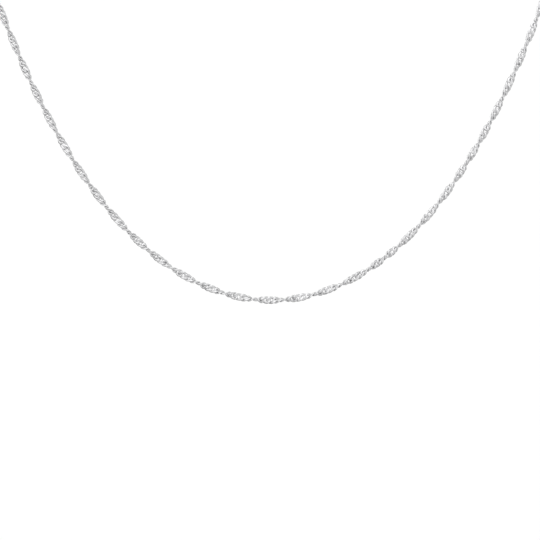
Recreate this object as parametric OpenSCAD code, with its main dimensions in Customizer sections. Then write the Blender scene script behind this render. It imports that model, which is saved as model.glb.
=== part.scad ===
// Singapore chain necklace, as it hangs round a neck.
// Z is up, the front faces -Y and the wearer's left side is at +X.
// The origin is the middle of the neck opening. Sizes are in millimetres.

/* [Necklace] */
// Length all the way round, with the clasp
necklace_length = 450; // [440:5:470]
// Width of the twisted chain
chain_width = 1.4; // [1.2:0.1:1.6]
// Sag constant of the front curve, its radius at the lowest point
sag = 29.6; // [28:0.2:31]
// Half the width of the part that hangs as one flat curve
hang_half_width = 52; // [48:1:54]
// Angle that the hanging front leans back from upright
lean = 20; // [10:1:25]

/* [Neck] */
// Distance of the lowest point in front of the origin
front_reach = 58; // [55:1:62]
// Distance of the lowest point below the origin
drop = 105; // [100:1:110]
// Distance of the nape behind the origin
nape_reach = 50; // [48:1:52]
// Height of the nape above the origin
nape_rise = 6; // [4:1:8]

/* [Clasp] */
// Radius to the middle of the clasp's wire
clasp_r = 2.25; // [2:0.05:2.5]
// Thickness of the clasp's wire
clasp_wire = 1.1; // [1:0.05:1.2]
// Radius to the middle of the clasp eye's wire
eye_r = 0.85; // [0.8:0.05:0.95]
// Radius to the middle of an end ring's wire
ring_r = 1.25; // [1.2:0.05:1.4]
// Thickness of the eye's and the end rings' wire
ring_wire = 0.5; // [0.4:0.05:0.5]

/* [Hidden] */

// Clear space left where one ring bears on the next, and before the chain's ends
link_gap = 0.1;
end_gap = 0.2;
// How far the eye is sunk into the clasp's outside
eye_sink = 0.35;
// Sides of the chain's tube, and its rings along each half
tube_sides = 8;
hang_steps = 14;
neck_steps = 25;
// Length of the first handle of the curve that rounds the neck
side_handle = 60;

// Places along X, counted from the middle of the clasp's ring
eye_x = -(clasp_r + clasp_wire / 2 + eye_r + ring_wire / 2 - eye_sink);
left_ring_x = eye_x - (eye_r - ring_wire / 2) + link_gap - (ring_r - ring_wire / 2);
right_ring_x = clasp_r - clasp_wire / 2 - link_gap + (ring_r - ring_wire / 2);
left_end_x = left_ring_x - ring_r - ring_wire / 2 - end_gap;
right_end_x = right_ring_x + ring_r + ring_wire / 2 + end_gap;
// The clasp is moved sideways so that both ends of the chain lie alike
clasp_x = -(left_end_x + right_end_x) / 2;
chain_end_x = right_end_x + clasp_x;

// Front curve: a hanging chain's curve in a plane that leans back
function cosh_(x) = (exp(x) + exp(-x)) / 2;
function sinh_(x) = (exp(x) - exp(-x)) / 2;
function asinh_(x) = ln(x + sqrt(x * x + 1));
up = [0, sin(lean), cos(lean)];
lowest = [0, -front_reach, -drop];
hang_length = sag * sinh_(hang_half_width / sag);
function hang_point(s) = lowest
    + [sag * asinh_(s / sag), 0, 0]
    + (sqrt(sag * sag + s * s) - sag) * up;
function hang_way(s) = ([sag, 0, 0] + s * up) / sqrt(sag * sag + s * s);

// Neck curve: one smooth curve from the front over the side to the nape
side_start = hang_point(hang_length);
side_way = hang_way(hang_length);
nape_end = [chain_end_x, nape_reach, nape_rise];
half_length = (necklace_length - 2 * chain_end_x) / 2 - hang_length;
function neck_point(t, h) =
    pow(1 - t, 3) * side_start
    + 3 * pow(1 - t, 2) * t * (side_start + side_handle * side_way)
    + 3 * (1 - t) * t * t * (nape_end + [h, 0, 0])
    + pow(t, 3) * nape_end;
function neck_way(t, h) =
    let (a = side_handle * side_way,
         b = nape_end + [h, 0, 0] - side_start - a,
         c = [-h, 0, 0],
         d = (1 - t) * (1 - t) * a + 2 * (1 - t) * t * b + t * t * c)
    d / norm(d);
function add(v, i = 0) = i < len(v) ? v[i] + add(v, i + 1) : 0;
function neck_length(h, n = 120) =
    add([for (i = [1:n]) norm(neck_point(i / n, h) - neck_point((i - 1) / n, h))]);
// The second handle is found by halving, so that the whole length comes out right
function fit_handle(low, high, n) =
    let (mid = (low + high) / 2)
    n == 0 ? mid
    : neck_length(mid) < half_length ? fit_handle(mid, high, n - 1)
    : fit_handle(low, mid, n - 1);
nape_handle = fit_handle(5, 110, 30);

// Route of the right half, then of the whole chain from its left end to its right end
half_points = concat(
    [for (i = [1:hang_steps]) hang_point(hang_length * i / hang_steps)],
    [for (i = [1:neck_steps]) neck_point(i / neck_steps, nape_handle)]);
half_ways = concat(
    [for (i = [1:hang_steps]) hang_way(hang_length * i / hang_steps)],
    [for (i = [1:neck_steps]) neck_way(i / neck_steps, nape_handle)]);
half_count = hang_steps + neck_steps;
route = concat(
    [for (i = [half_count - 1:-1:0]) [-half_points[i].x, half_points[i].y, half_points[i].z]],
    [lowest],
    half_points);
ways = concat(
    [for (i = [half_count - 1:-1:0]) [half_ways[i].x, -half_ways[i].y, -half_ways[i].z]],
    [[1, 0, 0]],
    half_ways);

// A tube along a route; each ring of corners is set out from the line through the origin
module tube(points, tangents, radius, sides) {
    count = len(points);
    corners = [for (i = [0:count - 1])
        let (t = tangents[i],
             outward = [points[i].x, points[i].y, 0],
             side = outward - (outward * t) * t,
             u = side / norm(side),
             v = cross(t, u))
        for (j = [0:sides - 1])
            points[i] + radius * (cos(360 * (j + 0.5) / sides) * u + sin(360 * (j + 0.5) / sides) * v)];
    walls = [for (i = [0:count - 2]) for (j = [0:sides - 1])
        let (a = i * sides + j,
             b = i * sides + (j + 1) % sides)
        each [[a, a + sides, b], [b, a + sides, b + sides]]];
    first_cap = [for (j = [0:sides - 1]) j];
    last_cap = [for (j = [sides - 1:-1:0]) (count - 1) * sides + j];
    polyhedron(points = corners, faces = concat(walls, [first_cap, last_cap]), convexity = 8);
}

// A round ring of round wire that lies flat on the XY plane
module wire_ring(radius, wire) {
    rotate_extrude($fn = 64)
        translate([radius, 0, 0])
            circle(d = wire, $fn = 32);
}

// The whole chain as the tube that its twisting links fill
module chain() {
    color("silver")
        tube(route, ways, chain_width / 2, tube_sides);
}

// Plain spring-ring clasp at the nape: its ring, its eye and its thumb tab in one piece
module clasp() {
    color("gainsboro")
        translate([clasp_x, nape_reach, nape_rise]) {
            rotate([90, 0, 0])
                wire_ring(clasp_r, clasp_wire);
            translate([eye_x, 0, 0])
                rotate([90, 0, 0])
                    wire_ring(eye_r, ring_wire);
            rotate([0, 40, 0])
                translate([0, 0, clasp_r + clasp_wire / 4])
                    cylinder(d = clasp_wire * 0.5, h = clasp_wire * 0.85, $fn = 24);
        }
}

// Ring that joins the clasp's eye to the chain's end
module end_ring_left() {
    color("lightgray")
        translate([clasp_x + left_ring_x, nape_reach, nape_rise])
            wire_ring(ring_r, ring_wire);
}

// Ring that the clasp closes on, at the chain's other end
module end_ring_right() {
    color("lightgray")
        translate([clasp_x + right_ring_x, nape_reach, nape_rise])
            wire_ring(ring_r, ring_wire);
}

chain();
clasp();
end_ring_left();
end_ring_right();
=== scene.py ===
import math

import bmesh
import bpy
import numpy as np
from mathutils import Matrix, Vector


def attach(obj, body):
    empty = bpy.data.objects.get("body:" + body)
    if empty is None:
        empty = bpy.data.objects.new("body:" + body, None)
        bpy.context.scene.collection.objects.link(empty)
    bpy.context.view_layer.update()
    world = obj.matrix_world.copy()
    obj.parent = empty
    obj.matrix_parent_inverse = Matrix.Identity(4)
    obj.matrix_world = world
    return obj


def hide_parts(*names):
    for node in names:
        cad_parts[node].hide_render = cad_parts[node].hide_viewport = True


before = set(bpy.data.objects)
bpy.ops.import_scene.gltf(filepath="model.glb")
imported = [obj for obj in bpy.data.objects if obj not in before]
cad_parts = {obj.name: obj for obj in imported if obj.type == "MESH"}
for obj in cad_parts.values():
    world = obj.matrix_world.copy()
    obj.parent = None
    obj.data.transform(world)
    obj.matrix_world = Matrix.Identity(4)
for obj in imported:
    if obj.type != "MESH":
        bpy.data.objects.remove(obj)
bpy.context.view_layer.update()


# The run of the chain
# A limp ribbon of silver links. In front it hangs in a chain's own curve, in a plane that leans back
# with the chest, and then it goes round the sides of the neck to the clasp. Sizes are in millimetres.
LOOP_LENGTH = 450.0
SAG = 29.6
HANG_HALF_WIDTH = 52.0
LEAN = math.radians(20)
LOWEST = np.array([0.0, -58.0, -105.0])
NAPE = np.array([0.0, 50.0, 6.0])
CHAIN_END_X = 5.525
SIDE_HANDLE = 60.0
NAPE_HANDLE_RANGE = (5.0, 110.0)
HALVINGS = 30
FRONT_STEPS = 240
NECK_STEPS = 400
NECK_TRIAL_STEPS = 121
UP_THE_CHEST = np.array([0.0, math.sin(LEAN), math.cos(LEAN)])
OUT_OF_CHEST = np.array([0.0, -math.cos(LEAN), math.sin(LEAN)])

hang_length = SAG * math.sinh(HANG_HALF_WIDTH / SAG)
hidden_length = LOOP_LENGTH / 2 - CHAIN_END_X - hang_length


def hanging_points(lengths):
    across = SAG * np.arcsinh(lengths / SAG)
    height = np.sqrt(SAG**2 + lengths**2) - SAG
    return LOWEST + np.outer(across, [1, 0, 0]) + np.outer(height, UP_THE_CHEST)


def hanging_tangent(length):
    return (np.array([SAG, 0, 0]) + length * UP_THE_CHEST) / math.hypot(SAG, length)


def neck_points(steps, nape_handle):
    t = np.asarray(steps)[:, None]
    start = hanging_points(np.array([hang_length]))[0]
    end = NAPE + [CHAIN_END_X, 0, 0]
    return (
        (1 - t) ** 3 * start
        + 3 * (1 - t) ** 2 * t * (start + SIDE_HANDLE * hanging_tangent(hang_length))
        + 3 * (1 - t) * t**2 * (end + [nape_handle, 0, 0])
        + t**3 * end
    )


def path_length(points):
    return float(np.linalg.norm(np.diff(points, axis=0), axis=1).sum())


# The handle at the nape is found by halving, so that the loop has its whole length
low, high = NAPE_HANDLE_RANGE
for _ in range(HALVINGS):
    nape_handle = (low + high) / 2
    if path_length(neck_points(np.linspace(0, 1, NECK_TRIAL_STEPS), nape_handle)) < hidden_length:
        low = nape_handle
    else:
        high = nape_handle

right_half = np.vstack([
    hanging_points(np.linspace(0, hang_length, FRONT_STEPS)),
    neck_points(np.linspace(0, 1, NECK_STEPS), nape_handle)[1:],
])
route = np.vstack([right_half[:0:-1] * [-1, 1, 1], right_half])
route_steps = np.linalg.norm(np.diff(route, axis=0), axis=1)
route_at = np.concatenate([[0], np.cumsum(route_steps)])
chain_length = float(route_at[-1])
route_at -= chain_length / 2

# Two directions square to the chain are carried along it without twist from the lowest point:
# inward lies in the plane of the front curve and points into the loop, facing points to the viewer
route_ways = np.gradient(route, route_at, axis=0)
route_ways /= np.linalg.norm(route_ways, axis=1)[:, None]
middle = len(route) // 2
facing = np.zeros_like(route)
facing[middle] = OUT_OF_CHEST
for side in (1, -1):
    for i in range(middle + side, len(route) if side > 0 else -1, side):
        carried = facing[i - side] - route_ways[i] * (facing[i - side] @ route_ways[i])
        facing[i] = carried / np.linalg.norm(carried)
inward = np.cross(facing, route_ways)

# Where the ribbon stands edge on, in mm along the chain from its lowest point, as the photo shows it
EDGE_ON_FRONT = [
    -74.8, -69.4, -64.1, -59.0, -53.5, -47.6, -42.1, -36.7, -30.6, -25.5, -20.0, -14.4, -9.2, -3.3, 2.2,
    7.8, 13.3, 19.1, 22.9, 26.2, 31.7, 37.2, 42.2, 46.4, 50.7, 55.3, 60.3, 65.7, 71.0, 76.4,
]
HALF_TWIST = 5.49
TWIST_HAND = -1
OPENNESS = 0.1
SETTLING_ROUNDS = 30


def smooth_between(x, xs, ys):
    # A smooth curve through given points that never turns back between two of them
    xs, ys = np.asarray(xs, float), np.asarray(ys, float)
    slopes = np.diff(ys) / np.diff(xs)
    between = 2 * slopes[:-1] * slopes[1:] / (slopes[:-1] + slopes[1:])
    m = np.concatenate([[slopes[0]], between, [slopes[-1]]])
    i = np.clip(np.searchsorted(xs, x) - 1, 0, len(xs) - 2)
    h = xs[i + 1] - xs[i]
    t = (x - xs[i]) / h
    return (
        (2 * t**3 - 3 * t**2 + 1) * ys[i]
        + (t**3 - 2 * t**2 + t) * h * m[i]
        + (3 * t**2 - 2 * t**3) * ys[i + 1]
        + (t**3 - t**2) * h * m[i + 1]
    )


def extra_turn(turn):
    # The ribbon lies open a little longer and turns over a little sooner where it is narrow
    return OPENNESS / 2 * np.sin(2 * turn - math.pi)


# The hidden stretches keep an even twist and end with the ribbon level at the end rings
edge_on = list(EDGE_ON_FRONT)
turns = [math.pi / 2 + TWIST_HAND * math.pi * i for i in range(len(edge_on))]
for side, place in ((-1, 0), (1, -1)):
    end = side * chain_length / 2
    level = math.atan2(-inward[place, 2], facing[place, 2])
    wanted = turns[place] + TWIST_HAND * side * math.pi * abs(end - edge_on[place]) / HALF_TWIST
    whole = math.pi * round((wanted - level) / math.pi)
    final = level + whole
    for _ in range(SETTLING_ROUNDS):
        final = level + whole - extra_turn(final)
    edge_on.insert(len(edge_on) if side > 0 else 0, end)
    turns.insert(len(turns) if side > 0 else 0, final)
ribbon_turn = smooth_between(route_at, edge_on, turns)
ribbon_turn += extra_turn(ribbon_turn)


# The links
# Each link is an oval of sterling wire that is pressed flat, so that its sides lie in front of one
# neighbour and behind the other. Every link passes through the last, and the row twists to the left.
MM = 0.001
LINK_COUNT = 353
FIRST_LINK_AT = 1.156
LAST_LINK_AT = 1.256
LINK_WIRE_WIDTH = 0.44
LINK_WIRE_THICKNESS = 0.33
RIBBON_WIDTH = 1.37
LINK_STEPS = 14
# A link is longer than the pitch by a share of its wire's width and a little slack
LINK_LENGTH_SHARE = 1.22
LINK_END_SLACK = 0.05
# Half the length of its flat end, the slope from there to its side, and how its corners are rounded
LINK_BLUNT_END = 0.17
LINK_SHOULDER_SLOPE = 0.965
CORNER_CUTS = 3
CORNER_SHARE = 0.25
# The room between two crossing wires, and how far from its middle a link reaches its full rise
LINK_CLEARANCE = 0.03
LAYER_RISE_ALONG = 0.6
LAYER_RISE_ACROSS = 0.42
# How thick the wire still is at its pressed edges, as a share of its middle
SIDE_SHARE = 0.5
pitch = (chain_length - FIRST_LINK_AT - LAST_LINK_AT) / (LINK_COUNT - 1)


def ease(u):
    u = np.clip(u, -1, 1)
    return u * (1.5 - 0.5 * u**2)


def link_centre_line():
    end = (pitch + LINK_WIRE_WIDTH * LINK_LENGTH_SHARE + LINK_END_SLACK) / 2
    edge = (RIBBON_WIDTH - LINK_WIRE_WIDTH) / 2
    shoulder = end - (edge - LINK_BLUNT_END) / LINK_SHOULDER_SLOPE
    plan = np.array([
        (end, -LINK_BLUNT_END), (end, LINK_BLUNT_END), (shoulder, edge), (-shoulder, edge),
        (-end, LINK_BLUNT_END), (-end, -LINK_BLUNT_END), (-shoulder, -edge), (shoulder, -edge)])
    kept = 1 - CORNER_SHARE
    for _ in range(CORNER_CUTS):
        after = np.roll(plan, -1, axis=0)
        cuts = [kept * plan + CORNER_SHARE * after, CORNER_SHARE * plan + kept * after]
        plan = np.stack(cuts, axis=1).reshape(-1, 2)
    plan = np.vstack([plan, plan[:1]])
    run = np.concatenate([[0], np.cumsum(np.linalg.norm(np.diff(plan, axis=0), axis=1))])
    at = np.arange(LINK_STEPS) / LINK_STEPS * run[-1]
    x, y = np.interp(at, run, plan[:, 0]), np.interp(at, run, plan[:, 1])
    layer = (LINK_WIRE_THICKNESS + LINK_CLEARANCE) / 2
    z = -layer * ease(x / LAYER_RISE_ALONG) * ease(y / LAYER_RISE_ACROSS)
    return [Vector(centre) for centre in zip(x, y, z)]


def make_link_mesh(name):
    centres = link_centre_line()
    w, t = LINK_WIRE_WIDTH / 2, LINK_WIRE_THICKNESS / 2
    side = SIDE_SHARE * t
    section = [(w, side), (0, t), (-w, side), (-w, -side), (0, -t), (w, -side)]
    bm = bmesh.new()
    rings = []
    for i, centre in enumerate(centres):
        way = centres[(i + 1) % LINK_STEPS] - centres[i - 1]
        out = Vector((way.y, -way.x, 0)).normalized()
        rings.append([bm.verts.new((centre + out * a + Vector((0, 0, b))) * MM) for a, b in section])
    for here, after in zip(rings, rings[1:] + rings[:1]):
        for j in range(len(section)):
            k = (j + 1) % len(section)
            bm.faces.new((here[j], here[k], after[k], after[j]))
    bmesh.ops.recalc_face_normals(bm, faces=bm.faces)
    mesh = bpy.data.meshes.new(name)
    bm.to_mesh(mesh)
    bm.free()
    mesh.polygons.foreach_set("use_smooth", [True] * len(mesh.polygons))
    return mesh


def node(tree, kind, settings=None, links=None):
    made = tree.nodes.new(kind)
    for key, value in (settings or {}).items():
        setattr(made, key, value)
    for socket, value in (links or {}).items():
        target = made.inputs[socket]
        if isinstance(value, bpy.types.NodeSocket):
            tree.links.new(value, target)
        else:
            target.default_value = value
    return made


def linear(hex_colour):
    parts = [int(hex_colour[i : i + 2], 16) / 255 for i in (1, 3, 5)]
    return tuple(p / 12.92 if p <= 0.04045 else ((p + 0.055) / 1.055) ** 2.4 for p in parts) + (1.0,)


def new_material(name):
    made = bpy.data.materials.new(name)
    made.use_nodes = True
    made.node_tree.nodes.clear()
    return made, made.node_tree


# Rhodium-plated sterling silver, pressed and tumbled: a hard white mirror whose faces tilt a little
# from link to link, so that each sparkles in its own way, softened by patches that took the polish
# less well. Tumbling marks are some hundredths of a mm wide and are drawn at 0.11 mm, so as to show.
TILT_SIZE = 0.8
TILT_DEPTH = 0.3
MARK_SIZE = 0.11
MARK_DEPTH = 0.01
MARK_STRENGTH = 0.08
LINK_PATCH_SIZE = 2.4
LINK_ROUGHNESS = (0.08, 0.20)
# Nearly all of a noise lies between these two values
NOISE_LOW = 0.3
NOISE_HIGH = 0.7
silver_links, t = new_material("tumbled_rhodium_silver")
where = node(t, "ShaderNodeTexCoord").outputs["Object"]
marks = node(t, "ShaderNodeTexNoise", None, {
    "Vector": where, "Scale": 1 / (MARK_SIZE * MM), "Detail": 2.0})
patches = node(t, "ShaderNodeTexNoise", None, {
    "Vector": where, "Scale": 1 / (LINK_PATCH_SIZE * MM), "Detail": 1.0})
roughness = node(t, "ShaderNodeMapRange", None, {
    "Value": patches.outputs["Fac"], "From Min": NOISE_LOW, "From Max": NOISE_HIGH,
    "To Min": LINK_ROUGHNESS[0], "To Max": LINK_ROUGHNESS[1]})
tilts = node(t, "ShaderNodeTexNoise", None, {
    "Vector": where, "Scale": 1 / (TILT_SIZE * MM), "Detail": 0.0})
tilted = node(t, "ShaderNodeBump", None, {
    "Height": tilts.outputs["Fac"], "Strength": 1.0, "Distance": TILT_DEPTH * MM})
bump = node(t, "ShaderNodeBump", None, {
    "Height": marks.outputs["Fac"], "Strength": MARK_STRENGTH, "Distance": MARK_DEPTH * MM,
    "Normal": tilted.outputs["Normal"]})
shader = node(t, "ShaderNodeBsdfPrincipled", None, {
    "Base Color": linear("#EDEDEE"), "Metallic": 1.0, "Roughness": roughness.outputs["Result"],
    "Normal": bump.outputs["Normal"]})
node(t, "ShaderNodeOutputMaterial", None, {"Surface": shader.outputs["BSDF"]})


# A flat, straight chain is laid out link by link and then bent and twisted along its run
tree = bpy.data.node_groups.new("twisted_chain", "GeometryNodeTree")
tree.is_modifier = True
for label, kind in (
    ("Run", "NodeSocketGeometry"), ("Link", "NodeSocketObject"), ("Links", "NodeSocketInt"),
    ("Pitch", "NodeSocketFloat"), ("First link at", "NodeSocketFloat"), ("Finish", "NodeSocketMaterial"),
):
    tree.interface.new_socket(name=label, in_out="INPUT", socket_type=kind)
tree.interface.new_socket(name="Chain", in_out="OUTPUT", socket_type="NodeSocketGeometry")
given = node(tree, "NodeGroupInput").outputs
curve = node(tree, "GeometryNodeMeshToCurve", None, {"Mesh": given["Run"]}).outputs["Curve"]
first_place = node(tree, "ShaderNodeCombineXYZ", None, {"X": given["First link at"]}).outputs["Vector"]
one_pitch = node(tree, "ShaderNodeCombineXYZ", None, {"X": given["Pitch"]}).outputs["Vector"]
row = node(tree, "GeometryNodeMeshLine", {"mode": "OFFSET"}, {
    "Count": given["Links"], "Start Location": first_place, "Offset": one_pitch}).outputs["Mesh"]
link = node(tree, "GeometryNodeObjectInfo", None, {"Object": given["Link"]}).outputs["Geometry"]
placed = node(tree, "GeometryNodeInstanceOnPoints", None, {
    "Points": row, "Instance": link}).outputs["Instances"]
straight = node(tree, "GeometryNodeRealizeInstances", None, {"Geometry": placed}).outputs["Geometry"]

flat_place = node(tree, "GeometryNodeInputPosition").outputs["Position"]
flat = node(tree, "ShaderNodeSeparateXYZ", None, {"Vector": flat_place}).outputs
turn_there = node(tree, "GeometryNodeInputNamedAttribute", {"data_type": "FLOAT"}, {
    "Name": "turn"}).outputs["Attribute"]
inward_there = node(tree, "GeometryNodeInputNamedAttribute", {"data_type": "FLOAT_VECTOR"}, {
    "Name": "inward"}).outputs["Attribute"]
turning = node(tree, "GeometryNodeSampleCurve", {"mode": "LENGTH", "data_type": "FLOAT"}, {
    "Curves": curve, "Value": turn_there, "Length": flat["X"]}).outputs["Value"]
lying = node(tree, "GeometryNodeSampleCurve", {"mode": "LENGTH", "data_type": "FLOAT_VECTOR"}, {
    "Curves": curve, "Value": inward_there, "Length": flat["X"]}).outputs
along = lying["Tangent"]
facing_raw = node(tree, "ShaderNodeVectorMath", {"operation": "CROSS_PRODUCT"}, {
    0: along, 1: lying["Value"]}).outputs["Vector"]
facing_there = node(tree, "ShaderNodeVectorMath", {"operation": "NORMALIZE"}, {
    0: facing_raw}).outputs["Vector"]
inward_square = node(tree, "ShaderNodeVectorMath", {"operation": "CROSS_PRODUCT"}, {
    0: facing_there, 1: along}).outputs["Vector"]
cosine = node(tree, "ShaderNodeMath", {"operation": "COSINE"}, {0: turning}).outputs["Value"]
sine = node(tree, "ShaderNodeMath", {"operation": "SINE"}, {0: turning}).outputs["Value"]
part_inward = node(tree, "ShaderNodeVectorMath", {"operation": "SCALE"}, {
    0: inward_square, "Scale": cosine}).outputs["Vector"]
part_facing = node(tree, "ShaderNodeVectorMath", {"operation": "SCALE"}, {
    0: facing_there, "Scale": sine}).outputs["Vector"]
across_ribbon = node(tree, "ShaderNodeVectorMath", {"operation": "ADD"}, {
    0: part_inward, 1: part_facing}).outputs["Vector"]
through_ribbon = node(tree, "ShaderNodeVectorMath", {"operation": "CROSS_PRODUCT"}, {
    0: along, 1: across_ribbon}).outputs["Vector"]
step_across = node(tree, "ShaderNodeVectorMath", {"operation": "SCALE"}, {
    0: across_ribbon, "Scale": flat["Y"]}).outputs["Vector"]
step_through = node(tree, "ShaderNodeVectorMath", {"operation": "SCALE"}, {
    0: through_ribbon, "Scale": flat["Z"]}).outputs["Vector"]
off_centre = node(tree, "ShaderNodeVectorMath", {"operation": "ADD"}, {
    0: step_across, 1: step_through}).outputs["Vector"]
bent = node(tree, "ShaderNodeVectorMath", {"operation": "ADD"}, {
    0: lying["Position"], 1: off_centre}).outputs["Vector"]
twisted = node(tree, "GeometryNodeSetPosition", None, {
    "Geometry": straight, "Position": bent}).outputs["Geometry"]
laid = node(tree, "GeometryNodeRealizeInstances", None, {"Geometry": twisted}).outputs["Geometry"]
finished = node(tree, "GeometryNodeSetMaterial", None, {"Geometry": laid, "Material": given["Finish"]})
node(tree, "NodeGroupOutput", None, {"Chain": finished.outputs["Geometry"]})

pattern_link = bpy.data.objects.new("pattern_link", make_link_mesh("pattern_link"))
bpy.context.scene.collection.objects.link(pattern_link)
run_mesh = bpy.data.meshes.new("run")
run_mesh.from_pydata((route * MM).tolist(), [(i, i + 1) for i in range(len(route) - 1)], [])
run_mesh.attributes.new("turn", "FLOAT", "POINT").data.foreach_set("value", ribbon_turn.astype(np.float32))
run_mesh.attributes.new("inward", "FLOAT_VECTOR", "POINT").data.foreach_set(
    "vector", inward.astype(np.float32).ravel())
run_object = bpy.data.objects.new("run", run_mesh)
bpy.context.scene.collection.objects.link(run_object)
modifier = run_object.modifiers.new("twisted_chain", "NODES")
modifier.node_group = tree
sockets = {item.name: item.identifier for item in tree.interface.items_tree if item.in_out == "INPUT"}
for label, value in (
    ("Link", pattern_link), ("Links", LINK_COUNT), ("Pitch", pitch * MM),
    ("First link at", FIRST_LINK_AT * MM), ("Finish", silver_links),
):
    modifier[sockets[label]] = value
bpy.context.view_layer.update()
chain_mesh = bpy.data.meshes.new_from_object(run_object.evaluated_get(bpy.context.evaluated_depsgraph_get()))
chain_mesh.name = "chain_links"
bpy.data.objects.remove(run_object)
bpy.data.objects.remove(pattern_link)
chain_links = bpy.data.objects.new("chain_links", chain_mesh)
bpy.context.scene.collection.objects.link(chain_links)
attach(chain_links, "root")
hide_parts("chain")


# The end links
# A plain oval of round sterling wire joins the chain's last link to the end ring on each side. It
# stands upright, its ends pass through both, and its seam is soldered and polished away.
END_LINK_WIRE = 0.3
END_LINK_OUTER_X = 6.275
END_LINK_INNER_X = 4.625
END_LINK_HALF_HEIGHT = 0.45
END_LINK_STEPS = 28
END_LINK_SIDES = 10


def add_loop(bm, centre, radius, stretch, wire_radii, sides):
    # A closed loop of round wire in the XZ plane; stretch is half of the straight part along X
    rings = []
    for i, wire_radius in enumerate(wire_radii):
        angle = 2 * math.pi * (i + 0.5) / len(wire_radii)
        out = np.array([math.cos(angle), 0, math.sin(angle)])
        middle = centre + radius * out + np.array([math.copysign(stretch, out[0]), 0, 0])
        rings.append([])
        for j in range(sides):
            b = 2 * math.pi * j / sides
            corner = middle + wire_radius * (math.cos(b) * out + math.sin(b) * np.array([0, 1, 0]))
            rings[-1].append(bm.verts.new(corner * MM))
    for here, after in zip(rings, rings[1:] + rings[:1]):
        for j in range(sides):
            bm.faces.new((here[j], here[j - 1], after[j - 1], after[j]))


def finish_piece(bm, name, material):
    bmesh.ops.recalc_face_normals(bm, faces=bm.faces)
    mesh = bpy.data.meshes.new(name)
    bm.to_mesh(mesh)
    bm.free()
    mesh.polygons.foreach_set("use_smooth", [True] * len(mesh.polygons))
    mesh.materials.append(material)
    piece = bpy.data.objects.new(name, mesh)
    bpy.context.scene.collection.objects.link(piece)
    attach(piece, "root")
    return piece


# Rhodium-plated sterling silver, polished: a clear white mirror, with a faint unevenness over
# 1.7 mm from the wheel
WHEEL_PATCH_SIZE = 1.7
WHEEL_ROUGHNESS = (0.08, 0.16)
polished, t = new_material("polished_rhodium_silver")
where = node(t, "ShaderNodeTexCoord").outputs["Object"]
patches = node(t, "ShaderNodeTexNoise", None, {
    "Vector": where, "Scale": 1 / (WHEEL_PATCH_SIZE * MM), "Detail": 1.0})
roughness = node(t, "ShaderNodeMapRange", None, {
    "Value": patches.outputs["Fac"], "From Min": NOISE_LOW, "From Max": NOISE_HIGH,
    "To Min": WHEEL_ROUGHNESS[0], "To Max": WHEEL_ROUGHNESS[1]})
shader = node(t, "ShaderNodeBsdfPrincipled", None, {
    "Base Color": linear("#ECECED"), "Metallic": 1.0, "Roughness": roughness.outputs["Result"]})
node(t, "ShaderNodeOutputMaterial", None, {"Surface": shader.outputs["BSDF"]})

for side, name in ((-1, "end_link_left"), (1, "end_link_right")):
    bm = bmesh.new()
    half_length = (END_LINK_OUTER_X - END_LINK_INNER_X) / 2
    centre = NAPE + [side * (END_LINK_OUTER_X + END_LINK_INNER_X) / 2, 0, 0]
    stretch = half_length - END_LINK_HALF_HEIGHT
    wire = [END_LINK_WIRE / 2] * END_LINK_STEPS
    add_loop(bm, centre, END_LINK_HALF_HEIGHT, stretch, wire, END_LINK_SIDES)
    finish_piece(bm, name, polished)


# The clasp
# A ring of sterling tube that closes the necklace at the nape. Its thinner bolt slides into the tube
# when the small thumb tab is pushed round, and a soldered eye with a collar holds the end ring.
CLASP_CENTRE = NAPE + [1.225, 0, 0]
CLASP_RADIUS = 2.25
CLASP_WIRE = 1.1
BOLT_WIRE = 0.94
BOLT_FROM = math.radians(-38)
BOLT_TO = math.radians(34)
EYE_CENTRE = CLASP_CENTRE - [3.55, 0, 0]
EYE_RADIUS = 0.85
EYE_WIRE = 0.5
TAB_ANGLE = math.radians(50)
TAB_RADIUS = 0.275
TAB_TOP = 3.46
CLASP_STEPS = 120
CLASP_SIDES = 20
EYE_STEPS = 40
EYE_SIDES = 14
# Turned outlines, as distances along the piece and radii
TAB_OUTLINE = [
    (CLASP_RADIUS, TAB_RADIUS), (TAB_TOP - 0.12, TAB_RADIUS), (TAB_TOP - 0.04, TAB_RADIUS - 0.04),
    (TAB_TOP, TAB_RADIUS - 0.12),
]
COLLAR_OUTLINE = [(-0.30, 0.38), (0.02, 0.38), (0.10, 0.30), (0.16, 0.20)]


def add_turned(bm, centre, way, outline, sides=16):
    # A turned piece along a way, closed at both ends
    first = np.cross(way, [0, 1, 0])
    rings = []
    for distance, radius in outline:
        rings.append([])
        for j in range(sides):
            b = 2 * math.pi * j / sides
            around = math.cos(b) * first + math.sin(b) * np.array([0, 1, 0])
            rings[-1].append(bm.verts.new((centre + distance * way + radius * around) * MM))
    for here, after in zip(rings, rings[1:]):
        for j in range(sides):
            bm.faces.new((here[j], here[j - 1], after[j - 1], after[j]))
    bm.faces.new(rings[0])
    bm.faces.new(rings[-1])


bm = bmesh.new()
angles = [2 * math.pi * (i + 0.5) / CLASP_STEPS for i in range(CLASP_STEPS)]
turned = [math.remainder(a, 2 * math.pi) for a in angles]
tube = [(BOLT_WIRE if BOLT_FROM < a < BOLT_TO else CLASP_WIRE) / 2 for a in turned]
add_loop(bm, CLASP_CENTRE, CLASP_RADIUS, 0, tube, CLASP_SIDES)
add_loop(bm, EYE_CENTRE, EYE_RADIUS, 0, [EYE_WIRE / 2] * EYE_STEPS, EYE_SIDES)
tab_way = np.array([math.cos(TAB_ANGLE), 0, math.sin(TAB_ANGLE)])
add_turned(bm, CLASP_CENTRE, tab_way, TAB_OUTLINE)
collar_x = CLASP_CENTRE[0] - CLASP_RADIUS - CLASP_WIRE / 2
add_turned(bm, np.array([collar_x, *NAPE[1:]]), np.array([-1.0, 0, 0]), COLLAR_OUTLINE)
clasp = finish_piece(bm, "clasp_ring", polished)
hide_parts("clasp")


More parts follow.
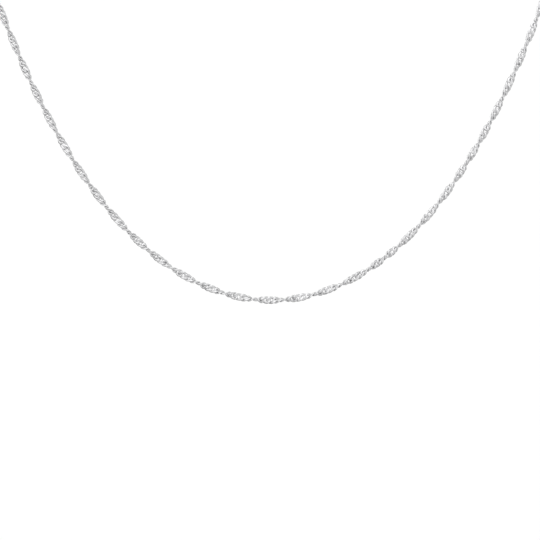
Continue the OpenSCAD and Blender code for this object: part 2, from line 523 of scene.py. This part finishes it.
# The end rings
# Two jump rings of round sterling wire, bent round and soldered shut, lying level. One is held by
# the clasp's eye for good, and the clasp is hooked into the other.
for name in ("end_ring_left", "end_ring_right"):
    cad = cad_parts[name]
    cad.data.materials.clear()
    cad.data.materials.append(polished)


# The studio
# A matt white board below and an even white room all round. Only the metal sees a bright card high on
# the left, a dark flag low on the left and faint greys in front and behind, so that its links show.
FLOOR_RADIUS_M = 8.0
FLOOR_LEVEL_M = -0.35
FLOOR_SIDES = 96
floor_mesh = bpy.data.meshes.new("floor")
bm = bmesh.new()
bmesh.ops.create_circle(bm, cap_ends=True, segments=FLOOR_SIDES, radius=FLOOR_RADIUS_M)
bm.to_mesh(floor_mesh)
bm.free()
floor = bpy.data.objects.new("floor", floor_mesh)
bpy.context.scene.collection.objects.link(floor)
floor.location.z = FLOOR_LEVEL_M
floor.visible_glossy = False
white, t = new_material("matt_white_board")
shader = node(t, "ShaderNodeBsdfPrincipled", None, {
    "Base Color": linear("#FAFAFA"), "Roughness": 0.9, "Specular IOR Level": 0.0})
node(t, "ShaderNodeOutputMaterial", None, {"Surface": shader.outputs["BSDF"]})
floor_mesh.materials.append(white)

# Each card's way is given across, up the chest and out of it, with the cosines at which its glow
# starts and is full, and what it adds to the room's light or, as a dark flag, takes from it
ROOM_SEEN = 1.06
ROOM_LIGHT = 0.73
CARDS = [
    ((0.08, 0.2, 1), 0.68, 0.99, -0.08),
    ((-0.77, -0.25, 0.2), 0.22, 0.57, -0.45),
    ((-0.5, 0.33, 0.4), 0.22, 0.57, 0.58),
    ((0, 0, -1), 0.3, 0.65, -0.05),
]
world = bpy.data.worlds.new("studio")
bpy.context.scene.world = world
world.use_nodes = True
t = world.node_tree
t.nodes.clear()
looked = node(t, "ShaderNodeTexCoord").outputs["Generated"]
shade = ROOM_LIGHT
for (across, upward, outward), starts, full, change in CARDS:
    lies = np.array([across, 0, 0]) + upward * UP_THE_CHEST + outward * OUT_OF_CHEST
    lies /= np.linalg.norm(lies)
    nearness = node(t, "ShaderNodeVectorMath", {"operation": "DOT_PRODUCT"}, {0: looked, 1: tuple(lies)})
    card = node(t, "ShaderNodeMapRange", {"interpolation_type": "SMOOTHSTEP"}, {
        "Value": nearness.outputs["Value"], "From Min": starts, "From Max": full,
        "To Min": 0.0, "To Max": change})
    shade = node(t, "ShaderNodeMath", {"operation": "ADD"}, {
        0: shade, 1: card.outputs["Result"]}).outputs["Value"]
seen = node(t, "ShaderNodeBackground", None, {"Color": (1, 1, 1, 1), "Strength": ROOM_SEEN})
lit = node(t, "ShaderNodeBackground", None, {"Color": (1, 1, 1, 1), "Strength": shade})
by_metal = node(t, "ShaderNodeLightPath").outputs["Is Glossy Ray"]
mixed = node(t, "ShaderNodeMixShader", None, {
    0: by_metal, 1: seen.outputs["Background"], 2: lit.outputs["Background"]})
node(t, "ShaderNodeOutputWorld", None, {"Surface": mixed.outputs["Shader"]})
bpy.context.scene.view_settings.view_transform = "Standard"


# The camera
# It looks squarely at the plane of the front curve, from a distance at which the curve keeps the
# photo's shape, and the photo's small roll and offset are kept too.
PHOTO_WIDTH = 540
PHOTO_MIDDLE = PHOTO_WIDTH / 2
PHOTO_ROLL = math.radians(-0.27)
SAG_ON_PHOTO = 158.5
LOWEST_ON_PHOTO = (272.0, 300.2)
MM_PER_PIXEL = SAG / SAG_ON_PHOTO
DISTANCE = 800.0
SENSOR_WIDTH = 36
camera_data = bpy.data.cameras.new("camera")
camera = bpy.data.objects.new("camera", camera_data)
bpy.context.scene.collection.objects.link(camera)
bpy.context.scene.camera = camera
right = np.array([1.0, 0, 0]) * math.cos(PHOTO_ROLL) + UP_THE_CHEST * math.sin(PHOTO_ROLL)
up = UP_THE_CHEST * math.cos(PHOTO_ROLL) - np.array([1.0, 0, 0]) * math.sin(PHOTO_ROLL)
off_middle = right * (PHOTO_MIDDLE - LOWEST_ON_PHOTO[0]) + up * (LOWEST_ON_PHOTO[1] - PHOTO_MIDDLE)
aim = LOWEST + off_middle * MM_PER_PIXEL
eye = aim + OUT_OF_CHEST * DISTANCE
turn = Matrix((right, up, OUT_OF_CHEST)).transposed()
camera.matrix_world = Matrix.Translation(Vector(eye) * MM) @ turn.to_4x4()
camera_data.sensor_width = SENSOR_WIDTH
camera_data.lens = SENSOR_WIDTH * DISTANCE / (PHOTO_WIDTH * MM_PER_PIXEL)
camera_data.clip_start = 0.01
camera_data.clip_end = 100
